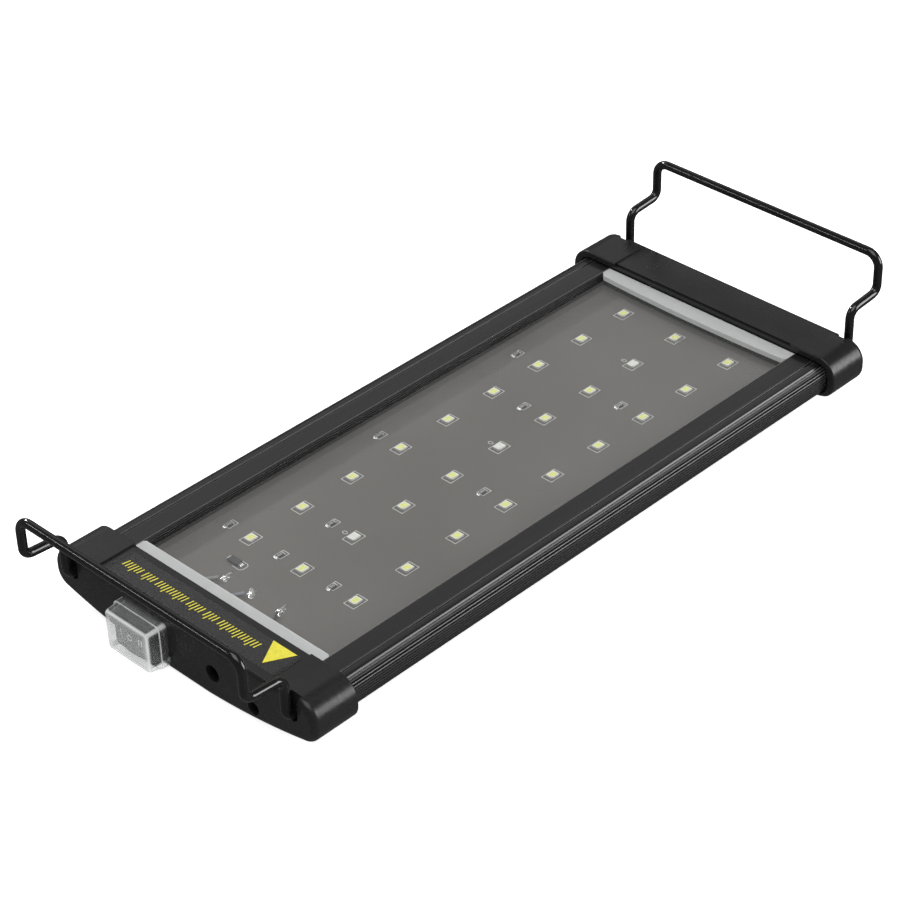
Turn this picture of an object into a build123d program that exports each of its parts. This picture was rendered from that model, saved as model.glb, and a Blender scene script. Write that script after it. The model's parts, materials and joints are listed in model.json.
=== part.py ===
from build123d import *

import os
from math import cos, pi, sin, sqrt

# LED aquarium light: a convex-backed aluminium trough with plastic end caps, a clear
# cover over an LED board, and two sliding wire brackets that rest on the tank's rim.
# Millimetres. +X runs along the light, the switch end is at -X, +Z is the lit side.
# The origin is below the middle of the light, on the surface that its back rests on.

# ---- driving dimensions ----
BODY_LENGTH = 262.0          # over both end caps
CAP_WIDTH = 119.4
CAP_TOP = 21.2               # top of the caps' raised ears
CAP_LENGTH = 17.9
BACK_RADIUS = 240.0          # curve of the convex back
BACK_FLAT = 24.0             # flat along the middle of the back, which it rests on
HOUSING_WIDTH = 112.6
HOUSING_BACK = 1.75          # the housing's back stands this far above the caps' back
LIP_TOP = 18.3
WINDOW_WIDTH = 85.0          # between the lips over the cover
SHELF_TOP = 10.5             # the board's seat
BOARD_THICK = 1.2
PAD_THICK = 0.3
COVER_THICK = 2.0
LED_COLUMNS = 9
LED_ROWS = 3
LED_PITCH_X = 22.5
LED_PITCH_Y = 24.0
LED_CENTRE_X = 10.5          # the grid sits towards the far end
LED_CENTRE_Y = 0.5
WIRE_D = 3.2
BRACKET_Y = 50.2             # half the distance between a bracket's legs
BRACKET_Z = 14.4             # height of the bracket bores
SWITCH_Y = 16.2
SWITCH_Z = 9.5
SOCKET_Y = -14.8
SOCKET_Z = 10.0
SCREW_Y = 32.7
SCREW_Z = 6.8

# ---- worked-out places ----
FACE_X = BODY_LENGTH / 2                     # outer face of a cap
MOUTH_X = FACE_X - CAP_LENGTH                # inner edge of a cap
WALL = 2.5                                   # thickness of a cap's end wall
HOUSING_END = MOUTH_X + 5.4
BOARD_END = 110.5
BOARD_HALF = 43.5            # half the board's width
PAD_HALF = 42.0
BOARD_TOP = SHELF_TOP + PAD_THICK + BOARD_THICK
LEDGE_Z = SHELF_TOP + 3.7                    # underside of the cover's groove
COVER_Z = LEDGE_Z + 0.05
SEAL_Z = COVER_Z + COVER_THICK
GAP = 0.15                                   # between the housing's end and a cap's socket


def arc_sag(radius, y):
    """How far a circle of this radius rises at y from its lowest point."""
    return radius - sqrt(radius * radius - y * y)


def shell_face(half_width, top, base, radius, top_round, low_round):
    """Cross-section of the light's outside: flat top, round sides, convex back, small flat."""
    flat = BACK_FLAT / 2
    drop = arc_sag(radius, flat)

    def back(y):
        return base + arc_sag(radius, y) - drop

    middle = (flat + half_width) / 2
    with BuildSketch() as sketch:
        with BuildLine():
            Line((-flat, base), (flat, base))
            ThreePointArc((flat, base), (middle, back(middle)), (half_width, back(half_width)))
            Line((half_width, back(half_width)), (half_width, top))
            Line((half_width, top), (-half_width, top))
            Line((-half_width, top), (-half_width, back(half_width)))
            ThreePointArc((-half_width, back(half_width)), (-middle, back(middle)), (-flat, base))
        make_face()
        corners = sketch.vertices().filter_by(lambda v: abs(v.X) > half_width - 1)
        fillet(corners.filter_by(lambda v: v.Y > top - 1), top_round)
        corners = sketch.vertices().filter_by(lambda v: abs(v.X) > half_width - 1)
        fillet(corners.filter_by(lambda v: v.Y < back(half_width) + 1), low_round)
    return sketch.sketch


def along_x(face, start, length):
    """A section drawn in (y, z) and run along +X from start."""
    return Pos(start, 0, 0) * extrude(Plane.YZ * face, length)


def block(x0, x1, y0, y1, z0, z1):
    """A box between two corners."""
    return Pos((x0 + x1) / 2, (y0 + y1) / 2, (z0 + z1) / 2) * Box(x1 - x0, y1 - y0, z1 - z0)


def bar_x(x0, x1, y, z, radius):
    """A round bar along X."""
    return Pos((x0 + x1) / 2, y, z) * Rot(0, 90, 0) * Cylinder(radius, x1 - x0)


def rounded_block(x0, x1, y0, y1, z0, z1, radius):
    """A box whose four edges along Z are rounded."""
    body = block(x0, x1, y0, y1, z0, z1)
    return fillet(body.edges().filter_by(Axis.Z), radius)


def tube_path(points, radii, radius):
    """A round tube along straight runs joined by tangent arcs."""
    path = FilletPolyline(*points, radius=radii)
    return sweep(path.location_at(0) * Circle(radius), path=path)


# ---- the aluminium housing ----
RIB_COUNT = 9
RIB_DEPTH = 0.4
LEANING_RIBS = 4             # those round the shoulder, whose upper flanks are the wider
RIB_MOUTH = (0.84, 0.56)     # width at the surface of a leaning groove and of an upright one
RIB_LEAN = 0.2               # how far a leaning groove's bottom lies off its middle
FIRST_RIB = 1.54             # along the surface from the end of the flat top
RIB_PITCH = 0.97
LIP_LINE_Y = 50.2            # fine groove along each lip
LIP_LINE_R = 0.5
SIDE_ROUND = 4.4
LOW_ROUND = 3.8
BRACKET_BORE = 1.8
BOSS_R = 2.9
SCREW_BORE = 1.3
BELLY_WALL = 1.4
SHELF_THICK = 1.5
WEB_Y = 19.0
WEB_THICK = 1.4
LIT_WIDTH = 88.0             # between the side walls over the board
COVER_GROOVE = 90.4          # across the grooves that hold the cover
HOLLOW_HALF = 46.5           # half the width of the hollow under the board's shelf


def rib_grooves():
    """Fine V grooves down each side of the housing, and a round one along each lip."""
    corner_y = HOUSING_WIDTH / 2 - SIDE_ROUND
    corner_z = LIP_TOP - SIDE_ROUND
    quarter = SIDE_ROUND * pi / 2
    cuts = Sketch()
    for index in range(RIB_COUNT):
        run = FIRST_RIB + index * RIB_PITCH
        turn = min(run, quarter) / SIDE_ROUND
        leaning = index < LEANING_RIBS
        lean = RIB_LEAN if leaning else 0
        half_mouth = (RIB_MOUTH[0] if leaning else RIB_MOUTH[1]) / 2
        out = Vector(sin(turn), cos(turn))
        along = Vector(cos(turn), -sin(turn))
        middle = Vector(corner_y, corner_z) + out * SIDE_ROUND - Vector(0, max(run - quarter, 0))
        bottom = middle + along * lean - out * RIB_DEPTH
        mouth = [bottom + (middle + along * side * half_mouth - bottom) * 1.5 for side in (-1, 1)]
        for side in (-1, 1):
            points = [(side * point.X, point.Y) for point in (bottom, *mouth)]
            cuts += make_face(Polyline(*points, close=True))
    for side in (-1, 1):
        cuts += Pos(side * LIP_LINE_Y, LIP_TOP) * Circle(LIP_LINE_R)
    return cuts


def housing_section():
    """The extrusion's whole cross-section."""
    half = HOUSING_WIDTH / 2
    face = shell_face(half, LIP_TOP, HOUSING_BACK, BACK_RADIUS, SIDE_ROUND, LOW_ROUND)
    face -= rib_grooves()
    lit = Pos(0, (SHELF_TOP + LEDGE_Z) / 2 + 0.1) * Rectangle(LIT_WIDTH, LEDGE_Z - SHELF_TOP + 0.2)
    groove_top = SEAL_Z + 0.05
    groove = Pos(0, (LEDGE_Z + groove_top) / 2) * Rectangle(COVER_GROOVE, groove_top - LEDGE_Z)
    window = Pos(0, LIP_TOP) * Rectangle(WINDOW_WIDTH, 2 * (LIP_TOP - groove_top) + 0.2)
    face -= lit + groove + window
    for side in (-1, 1):
        face -= Pos(side * WINDOW_WIDTH / 2, LIP_TOP - 0.9) * Rectangle(0.6, 0.35)
    ceiling = SHELF_TOP - SHELF_THICK
    floor = HOUSING_BACK + BELLY_WALL
    hollow = shell_face(HOLLOW_HALF, ceiling + 8, floor, BACK_RADIUS, 1.0, 0.4)
    hollow &= Pos(0, ceiling / 2) * Rectangle(2 * HOLLOW_HALF, ceiling)
    for side in (-1, 1):
        hollow -= Pos(side * WEB_Y, 6) * Rectangle(WEB_THICK, 14)
        hollow -= Pos(side * SCREW_Y, SCREW_Z) * Circle(BOSS_R)
    face -= hollow
    for side in (-1, 1):
        face -= Pos(side * SCREW_Y, SCREW_Z) * Circle(SCREW_BORE)
        face -= Pos(side * BRACKET_Y, BRACKET_Z) * Circle(BRACKET_BORE)
    return face


def make_housing():
    body = along_x(housing_section(), -HOUSING_END, 2 * HOUSING_END)
    notch = block(-HOUSING_END - 1, -BOARD_END - 1, SWITCH_Y - 9.5, SWITCH_Y + 9.5,
                  SHELF_TOP - 4, LEDGE_Z)
    return body - notch


# ---- end caps, modelled at -X and turned about Z for the far end ----
EAR_Y = 40.3                 # inner side of a cap's raised ears
EAR_RISE = 0.6
CAP_TOP_ROUND = 7.4
CAP_LOW_ROUND = 6.2
FACE_ROUND = 2.2             # round between a cap's end face and its sides
MOUTH_ROUND = 0.6
LEDGE = (1.3, 0.7)           # step along the mouth's top edge, length and depth
FLARE = (1.6, 0.7)           # wider start of the socket, length and extra
ROOM_HALF = 44.5             # half the width of the room for the wiring
CAP_BOSS_R = 3.4
SHANK_BORE = 1.6
SLOT_WIDTH = 4.6             # upright slot that a bracket leg folds into
SLOT_DEPTH = 2.4
HEAD_BORE = 2.4
HEAD_SEAT = 4.5              # depth of the screw head's seat below the face


def cap_shell():
    """A cap's outside with its rounded edges."""
    face = shell_face(CAP_WIDTH / 2, CAP_TOP, 0, BACK_RADIUS, CAP_TOP_ROUND, CAP_LOW_ROUND)
    shell = along_x(face, -FACE_X, CAP_LENGTH)
    shell = fillet(shell.faces().sort_by(Axis.X)[0].edges(), FACE_ROUND)
    shell = fillet(shell.faces().sort_by(Axis.X)[-1].outer_wire().edges(), MOUTH_ROUND)
    top = CAP_TOP - EAR_RISE
    shell -= block(-FACE_X - 1, -MOUTH_X + 1, -EAR_Y, EAR_Y, top, CAP_TOP + 1)
    length, depth = LEDGE
    return shell - block(-MOUTH_X - length, -MOUTH_X + 1, -EAR_Y, EAR_Y, top - depth, top + 1)


def cap_hollow():
    """The socket for the housing's end, its flared mouth and the room for the wiring."""
    def socket(extra, x0, x1):
        half = HOUSING_WIDTH / 2 + extra
        face = shell_face(half, LIP_TOP + extra, HOUSING_BACK - extra, BACK_RADIUS,
                          SIDE_ROUND + extra, LOW_ROUND + extra)
        return along_x(face, x0, x1 - x0)

    room = shell_face(ROOM_HALF, LIP_TOP - 1.3, 2.8, BACK_RADIUS, 2.0, 1.5)
    hollow = socket(GAP, -HOUSING_END, -MOUTH_X + 1)
    hollow += socket(FLARE[1], -MOUTH_X - FLARE[0], -MOUTH_X + 1)
    hollow += along_x(room, -FACE_X + WALL, FACE_X - WALL - HOUSING_END + 0.5)
    for side in (-1, 1):
        boss = bar_x(-FACE_X + WALL - 1, -HOUSING_END, side * SCREW_Y, SCREW_Z, CAP_BOSS_R)
        hollow -= boss
    return hollow


def bracket_guides():
    """The bore for each bracket leg and the upright slot above its mouth."""
    cuts = None
    for side in (-1, 1):
        y = side * BRACKET_Y
        bore = bar_x(-FACE_X - 1, -HOUSING_END + 1, y, BRACKET_Z, WIRE_D / 2 + 0.1)
        half = SLOT_WIDTH / 2
        slot = block(-FACE_X - 1, -FACE_X + SLOT_DEPTH, y - half, y + half, BRACKET_Z, CAP_TOP + 1)
        slot += bar_x(-FACE_X - 1, -FACE_X + SLOT_DEPTH, y, BRACKET_Z, half)
        cuts = bore + slot if cuts is None else cuts + bore + slot
    return cuts


def make_cap():
    """One end cap with its bracket guides and screw seats."""
    cap = cap_shell() - cap_hollow() - bracket_guides()
    for side in (-1, 1):
        y = side * SCREW_Y
        cap -= bar_x(-FACE_X - 1, -FACE_X + HEAD_SEAT, y, SCREW_Z, HEAD_BORE)
        cap -= bar_x(-FACE_X - 1, -HOUSING_END + 1, y, SCREW_Z, SHANK_BORE)
    return cap


def make_near_cap():
    cap = make_cap()
    half_y, half_z = CASE_HALF_Y + 0.1, CASE_HALF_Z + 0.1
    cap -= block(-FACE_X - 1, -HOUSING_END, SWITCH_Y - half_y, SWITCH_Y + half_y,
                 SWITCH_Z - half_z, SWITCH_Z + half_z)
    return cap - bar_x(-FACE_X - 1, -FACE_X + WALL + 1, SOCKET_Y, SOCKET_Z, INLET_R)


SCREW_HEAD = (2.2, 1.7)      # radius and height
SCREW_SHANK = (1.25, 14.0)   # radius and length
CROSS_ARM = 1.4              # half length of the recess's arms
CROSS_HALF = 0.25            # half width of an arm
CROSS_DEPTH = 0.8


def make_cap_screws():
    """Two pan-head screws of one cap, sunk in their seats, with cross recesses."""
    screws = []
    for side in (-1, 1):
        y = side * SCREW_Y
        seat = -FACE_X + HEAD_SEAT
        head = bar_x(seat - SCREW_HEAD[1], seat, y, SCREW_Z, SCREW_HEAD[0])
        head = fillet(head.edges().sort_by(Axis.X)[0], 0.7)
        shank = bar_x(seat, seat + SCREW_SHANK[1], y, SCREW_Z, SCREW_SHANK[0])
        shank = chamfer(shank.edges().sort_by(Axis.X)[-1], 0.8)
        floor = seat - SCREW_HEAD[1] + CROSS_DEPTH
        cross = block(seat - 2, floor, y - CROSS_ARM, y + CROSS_ARM,
                      SCREW_Z - CROSS_HALF, SCREW_Z + CROSS_HALF)
        cross += block(seat - 2, floor, y - CROSS_HALF, y + CROSS_HALF,
                       SCREW_Z - CROSS_ARM, SCREW_Z + CROSS_ARM)
        screws.append(head + shank - cross)
    return screws


# ---- cover sheet and end seals ----
SEAL_TOP = LIP_TOP - 0.1
NEAR_SEAL_X = -107.8
FAR_SEAL_X = 108.0
FAR_SEAL_END = 113.2
SEAL_BOW = 1.1
COVER_HALF = 45.0


def make_cover():
    return rounded_block(-HOUSING_END + 0.5, HOUSING_END - 0.5, -COVER_HALF, COVER_HALF,
                         COVER_Z, SEAL_Z, 1.0)


def make_near_seal():
    half = WINDOW_WIDTH / 2 - 0.1
    strip = block(-HOUSING_END + 1, NEAR_SEAL_X, -half, half, SEAL_Z, SEAL_TOP)
    return chamfer(strip.edges().filter_by(Axis.Z).group_by(Axis.X)[-1], 0.8)


def make_far_seal():
    """A strip whose inner edge bows towards the middle of the light."""
    half = WINDOW_WIDTH / 2 - 0.1
    with BuildSketch(Plane.XY.offset(SEAL_Z)) as sketch:
        with BuildLine():
            Line((FAR_SEAL_END, -half), (FAR_SEAL_END, half))
            Line((FAR_SEAL_END, half), (FAR_SEAL_X + 1.6, half))
            Line((FAR_SEAL_X + 1.6, half), (FAR_SEAL_X, half - 1.6))
            ThreePointArc((FAR_SEAL_X, half - 1.6), (FAR_SEAL_X - SEAL_BOW, 0),
                          (FAR_SEAL_X, -half + 1.2))
            Line((FAR_SEAL_X, -half + 1.2), (FAR_SEAL_X + 1.2, -half))
            Line((FAR_SEAL_X + 1.2, -half), (FAR_SEAL_END, -half))
        make_face()
    return extrude(sketch.sketch, SEAL_TOP - SEAL_Z)


# ---- LED board and what is soldered to it ----
LED_SIZE = (3.5, 2.8, 0.65)
PHOSPHOR_SIZE = (2.6, 2.0, 0.06)
CUP_DEPTH = 0.45             # from a package's rim to the floor of its cup
CHIP_SIZE = (3.2, 1.6, 0.55)
CHIP_END = 0.45              # length of a resistor's metal end
FILLET_OUT = 0.5             # solder outside a resistor's end
DIODE_SIZE = (4.3, 2.6, 1.4)
DIODE_LEAD = (1.3, 1.5, 0.7) # length, width and height
ROW_TO_CHIP = 10.5           # from a row of LEDs to its row of resistors
BLUE_COLUMNS = (1, 4, 7)
CHIP_COLUMNS = ((0, 3, 6), (0, 1, 5), (0, 3, 6))
DIODE_AT = (-91.2, 19.1)
PADS = ((-98.5, 15.4), (-98.5, 3.4), (-98.3, -9.6))
JOINT_SIZE = (2.2, 1.7, 0.75) # half length, half width and height of a joint


def led_x(column):
    return LED_CENTRE_X + (column - (LED_COLUMNS - 1) / 2) * LED_PITCH_X


def led_y(row):
    return LED_CENTRE_Y + (row - (LED_ROWS - 1) / 2) * LED_PITCH_Y


def led_places(blue):
    """Centres of the blue LEDs, or of all the others."""
    places = []
    for row in range(LED_ROWS):
        for column in range(LED_COLUMNS):
            is_blue = row == 1 and column in BLUE_COLUMNS
            if is_blue == blue:
                places.append((led_x(column), led_y(row)))
    return places


def chip_places():
    places = []
    for row, columns in enumerate(CHIP_COLUMNS):
        for column in columns:
            places.append((led_x(column), led_y(row) + ROW_TO_CHIP))
    return places


def led_package(x, y):
    """A package body with a chamfered polarity corner and a shallow cup."""
    length, width, height = LED_SIZE
    body = block(x - length / 2, x + length / 2, y - width / 2, y + width / 2,
                 BOARD_TOP, BOARD_TOP + height)
    corner = body.edges().filter_by(Axis.Z).sort_by(lambda e: e.center().X + e.center().Y)[0]
    body = chamfer(corner, 0.5)
    cup = Pos(x, y, BOARD_TOP + height) * Box(PHOSPHOR_SIZE[0], PHOSPHOR_SIZE[1], 2 * CUP_DEPTH)
    return body - cup


def led_fill(x, y):
    """The silicone fill in a package's cup, level with its rim and slightly crowned."""
    length, width, crown = PHOSPHOR_SIZE
    base = BOARD_TOP + LED_SIZE[2] - CUP_DEPTH
    height = CUP_DEPTH + crown
    body = Pos(x, y, base + height / 2) * Box(length - 0.02, width - 0.02, height)
    return chamfer(body.faces().sort_by(Axis.Z)[-1].edges(), 0.05)


def chip_body(x, y):
    length, width, height = CHIP_SIZE
    half = length / 2 - CHIP_END
    return block(x - half, x + half, y - width / 2, y + width / 2, BOARD_TOP, BOARD_TOP + height)


def chip_ends(x, y):
    """The two soldered ends of a resistor, with sloping solder on the outside."""
    length, width, height = CHIP_SIZE
    ends = []
    for side in (-1, 1):
        inner = x + side * (length / 2 - CHIP_END)
        outer = x + side * (length / 2 + FILLET_OUT)
        end = block(min(inner, outer), max(inner, outer), y - width / 2, y + width / 2,
                    BOARD_TOP, BOARD_TOP + height)
        edge = end.edges().filter_by(Axis.Y).sort_by(lambda e: side * e.center().X + e.center().Z)
        ends.append(chamfer(edge[-1], 0.4))
    return ends


def make_diode():
    """The polarity diode's moulded body, lying across the board."""
    x, y = DIODE_AT
    length, width, height = DIODE_SIZE
    body = block(x - width / 2, x + width / 2, y - length / 2, y + length / 2,
                 BOARD_TOP + 0.05, BOARD_TOP + height)
    return chamfer(body.faces().sort_by(Axis.Z)[-1].edges(), 0.35)


def make_diode_leads():
    x, y = DIODE_AT
    length, width, height = DIODE_LEAD
    leads = []
    for side in (-1, 1):
        near = y + side * DIODE_SIZE[0] / 2
        far = near + side * length
        lead = block(x - width / 2, x + width / 2, min(near, far), max(near, far),
                     BOARD_TOP, BOARD_TOP + height)
        edge = lead.edges().filter_by(Axis.X).sort_by(lambda e: side * e.center().Y + e.center().Z)
        leads.append(chamfer(edge[-1], 0.45))
    return leads


def make_solder_joints():
    """A domed solder blob on each wire pad."""
    blobs = []
    for x, y in PADS:
        dome = Pos(x, y, BOARD_TOP) * scale(Sphere(1.0), JOINT_SIZE)
        dome &= block(x - 3, x + 3, y - 3, y + 3, BOARD_TOP, BOARD_TOP + 2)
        blobs.append(dome)
    return blobs


# ---- wires held inside ----
LEAD_R = 0.6
OVER_BOARD = BOARD_TOP + 1.0 # height of a lead's centre over the board
LAP_Z = SWITCH_Z + 2.65      # height of a lead's centre on top of a switch tag
LAP_X = -115.3
TAG_END = -113.5             # inner end of the switch's tags
TAG_PITCH = 6.5
SOCKET_TAG_Y = 2.4
SOCKET_TAG_Z = SHELF_TOP + 1.8
SOCKET_TAG_END = -118.2


def make_leads():
    """The four insulated leads between socket, switch and board."""
    outer = SWITCH_Y + TAG_PITCH
    inner = SWITCH_Y - TAG_PITCH
    routes = {
        "white_channel_lead": [(LAP_X, outer, LAP_Z), (-111.6, outer, LAP_Z + 0.2),
                               (-108.4, outer - 1.4, OVER_BOARD), (-100.7, 16.1, OVER_BOARD)],
        "blue_channel_lead": [(LAP_X, inner, LAP_Z), (-111.6, inner, LAP_Z + 0.2),
                              (-108.4, inner - 1.0, OVER_BOARD), (-100.7, 4.1, OVER_BOARD)],
        "return_lead": [(SOCKET_TAG_END + 0.05, SOCKET_Y - SOCKET_TAG_Y, SOCKET_TAG_Z),
                        (-112.5, SOCKET_Y - SOCKET_TAG_Y + 0.3, OVER_BOARD - 0.3),
                        (-107.0, -14.4, OVER_BOARD), (-100.5, -10.5, OVER_BOARD)],
        "supply_lead": [(SOCKET_TAG_END + 0.05, SOCKET_Y + SOCKET_TAG_Y, SOCKET_TAG_Z),
                        (-116.6, SOCKET_Y + SOCKET_TAG_Y, SOCKET_TAG_Z), (-116.6, 4.0, OVER_BOARD - 0.1),
                        (-116.2, SWITCH_Y + 0.4, LAP_Z)],
    }
    leads = {}
    for name, points in routes.items():
        leads[name] = tube_path(points, [1.4, 1.6], LEAD_R)
    return leads


# ---- rocker switch ----
FLANGE = (19.0, 14.0, 4.6)   # along Y, along Z, thickness
CASE_HALF_Y = 8.7
CASE_HALF_Z = 6.3
SWITCH_DEPTH = 11.5
PIVOT_X = -FACE_X - 0.4
PIVOT_R = 1.2
ROCKER_HALF_Y = 7.25
ROCKER_HALF_Z = 5.3
CAVITY_Y = 7.9
CAVITY_Z = 5.5
CASE_FLOOR = 1.2
CROWN_X = -5.8               # middle of the rocker's front, from its pivot
ROCKER_EDGE_X = -4.6         # the front's two ends
STEM_HALF = 1.6
STEM_LENGTH = 4.6
PLUNGER_R = 1.1


def make_switch_body():
    """The moulded case with its flange, cavity, pivot holes and tag slots."""
    y_half, z_half = FLANGE[0] / 2, FLANGE[1] / 2
    flange = block(-FACE_X - FLANGE[2], -FACE_X, SWITCH_Y - y_half, SWITCH_Y + y_half,
                   SWITCH_Z - z_half, SWITCH_Z + z_half)
    flange = fillet(flange.edges().filter_by(Axis.X), 2.0)
    flange = chamfer(flange.faces().sort_by(Axis.X)[0].edges(), 0.5)
    back = -FACE_X + SWITCH_DEPTH
    case = block(-FACE_X, back, SWITCH_Y - CASE_HALF_Y, SWITCH_Y + CASE_HALF_Y,
                 SWITCH_Z - CASE_HALF_Z, SWITCH_Z + CASE_HALF_Z)
    cavity = block(-FACE_X - FLANGE[2] - 1, back - CASE_FLOOR, SWITCH_Y - CAVITY_Y, SWITCH_Y + CAVITY_Y,
                   SWITCH_Z - CAVITY_Z, SWITCH_Z + CAVITY_Z)
    body = flange + case - cavity
    body -= Pos(PIVOT_X, SWITCH_Y, SWITCH_Z) * Cylinder(PIVOT_R + 0.05, 2 * CASE_HALF_Z + 0.3)
    for index in (-1, 0, 1):
        y = SWITCH_Y + index * TAG_PITCH
        body -= block(back - 2, back + 1, y - 0.42, y + 0.42, SWITCH_Z - 2.05, SWITCH_Z + 2.05)
    return body


def make_rocker():
    """The rocker: a crowned front, two pivot stubs and a stem that works the contact arm."""
    with BuildSketch() as sketch:
        with BuildLine():
            Line((ROCKER_EDGE_X, -ROCKER_HALF_Y), (-1.0, -ROCKER_HALF_Y))
            Line((-1.0, -ROCKER_HALF_Y), (1.0, -5.8))
            Line((1.0, -5.8), (1.0, 5.8))
            Line((1.0, 5.8), (-1.0, ROCKER_HALF_Y))
            Line((-1.0, ROCKER_HALF_Y), (ROCKER_EDGE_X, ROCKER_HALF_Y))
            ThreePointArc((ROCKER_EDGE_X, ROCKER_HALF_Y), (CROWN_X, 0),
                          (ROCKER_EDGE_X, -ROCKER_HALF_Y))
        make_face()
    shape = extrude(sketch.sketch, 2 * ROCKER_HALF_Z)
    front = shape.faces().sort_by(Axis.X)[0]
    shape = fillet(front.edges(), 0.7)
    rocker = Pos(PIVOT_X, SWITCH_Y, SWITCH_Z - ROCKER_HALF_Z) * shape
    rocker += Pos(PIVOT_X, SWITCH_Y, SWITCH_Z) * Cylinder(PIVOT_R, 2 * CASE_HALF_Z - 0.2)
    stem = block(PIVOT_X, PIVOT_X + STEM_LENGTH, SWITCH_Y - STEM_HALF, SWITCH_Y + STEM_HALF,
                 SWITCH_Z - STEM_HALF, SWITCH_Z + STEM_HALF)
    bore = bar_x(PIVOT_X - 1.0, PIVOT_X + 6, SWITCH_Y, SWITCH_Z, PLUNGER_R + 0.05)
    return rocker + stem - bore


def make_plunger():
    """The round-nosed plunger in the rocker's stem."""
    body = bar_x(PIVOT_X + 2.4, PIVOT_X + 6.0, SWITCH_Y, SWITCH_Z, PLUNGER_R)
    return fillet(body.edges().sort_by(Axis.X)[-1], 0.9)


def make_plunger_spring():
    """The compression spring behind the plunger."""
    coil = Helix(0.8, 2.9, 0.8)
    wire = sweep(coil.location_at(0) * Circle(0.14), path=coil, is_frenet=True)
    return Pos(PIVOT_X - 0.8, SWITCH_Y, SWITCH_Z) * Rot(0, 90, 0) * wire


ARM_FRONT_X = PIVOT_X + 6.3
ARM_THICK = 0.5
ARM_HALF = (6.9, 1.4)        # half its length and half its width
ARM_PIVOT_R = 0.5            # rolled bead on the strip that rocks in the fork
CONTACT_X = ARM_FRONT_X + 2.2


def make_contact_arm():
    """The see-saw contact strip, with a rolled pivot that rests on the middle tag's fork."""
    long, wide = ARM_HALF
    arm = Pos(ARM_FRONT_X + ARM_PIVOT_R, SWITCH_Y, SWITCH_Z) * Cylinder(ARM_PIVOT_R, 2 * wide)
    arm += block(ARM_FRONT_X, ARM_FRONT_X + ARM_THICK, SWITCH_Y - long, SWITCH_Y + long,
                 SWITCH_Z - wide, SWITCH_Z + wide)
    for side in (-1, 1):
        arm += bar_x(ARM_FRONT_X + 0.4, ARM_FRONT_X + 0.9, SWITCH_Y + side * 6.1, SWITCH_Z, 0.8)
    return arm


def make_switch_tags():
    """The three solder tags with their contact pads inside the case."""
    back = -FACE_X + SWITCH_DEPTH
    tags = []
    for index in (-1, 0, 1):
        y = SWITCH_Y + index * TAG_PITCH
        tag = block(back - 1.6, TAG_END, y - 0.4, y + 0.4, SWITCH_Z - 2, SWITCH_Z + 2)
        tag -= Pos(TAG_END - 1.8, y, SWITCH_Z) * Rot(90, 0, 0) * Cylinder(0.7, 2)
        if index:
            tag += bar_x(CONTACT_X, back - 1.3, y, SWITCH_Z, 0.9)
        else:
            fork = ARM_FRONT_X + 2 * ARM_PIVOT_R + 0.1
            tag += block(fork, back - 1.3, y - 0.35, y + 0.35, SWITCH_Z - 1.8, SWITCH_Z + 1.8)
        tags.append(tag)
    return tags


# ---- clear boot over the switch ----
BOOT_RIM = (21.8, 17.2, 3.0)
BOOT_BASE = (21.1, 16.5)
BOOT_FRONT = (20.3, 15.2)
BOOT_HEIGHT = 7.5
BOOT_SKIN = 0.7
BOOT_CORNER = (2.2, 1.9)     # corner radii at the base and at the front
BOOT_FRONT_ROUND = 1.5
RIM_CORNER = 2.5


def boot_solid(shrink, height):
    """A tapered, rounded pillow from the cap's face outwards."""
    base = Plane(origin=(-FACE_X, SWITCH_Y, SWITCH_Z), x_dir=(0, 1, 0), z_dir=(-1, 0, 0))
    low = base * RectangleRounded(BOOT_BASE[0] - shrink, BOOT_BASE[1] - shrink, BOOT_CORNER[0])
    front = base.offset(height)
    high = front * RectangleRounded(BOOT_FRONT[0] - shrink, BOOT_FRONT[1] - shrink, BOOT_CORNER[1])
    return loft([low, high])


def make_boot():
    """The moulded boot: a hollow pillow with a thicker rim round its foot."""
    shell = boot_solid(0, BOOT_HEIGHT)
    shell = fillet(shell.faces().sort_by(Axis.X)[0].edges(), BOOT_FRONT_ROUND)
    length, width, thick = BOOT_RIM
    rim = block(-FACE_X - thick, -FACE_X, SWITCH_Y - length / 2, SWITCH_Y + length / 2,
                SWITCH_Z - width / 2, SWITCH_Z + width / 2)
    rim = fillet(rim.edges().filter_by(Axis.X), RIM_CORNER)
    rim = fillet(rim.faces().sort_by(Axis.X)[0].edges(), 0.3)
    return rim + shell - boot_solid(2 * BOOT_SKIN, BOOT_HEIGHT - BOOT_SKIN)


# ---- power socket ----
SOCKET_LENGTH = 9.0
SOCKET_R = 4.4
SOCKET_FLOOR = 1.8
PIN_R = 1.0
PIN_STEM_R = 0.75
PIN_LENGTH = 5.4
SOCKET_BORE = 3.25           # wider than the inlet hole in the cap
INLET_R = 2.92               # hole in the cap for the plug's 5.5 mm barrel


def make_socket_body():
    front = -FACE_X + WALL
    back = front + SOCKET_LENGTH
    body = bar_x(front, back, SOCKET_Y, SOCKET_Z, SOCKET_R)
    body -= bar_x(front - 1, back - SOCKET_FLOOR, SOCKET_Y, SOCKET_Z, SOCKET_BORE)
    body -= bar_x(front, back + 1, SOCKET_Y, SOCKET_Z, PIN_STEM_R)
    for side in (-1, 1):
        y = SOCKET_Y + side * SOCKET_TAG_Y
        body -= block(back - 1.0, back + 1, y - 0.85, y + 0.85,
                      SOCKET_TAG_Z - 0.3, SOCKET_TAG_Z + 0.3)
    return body


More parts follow.
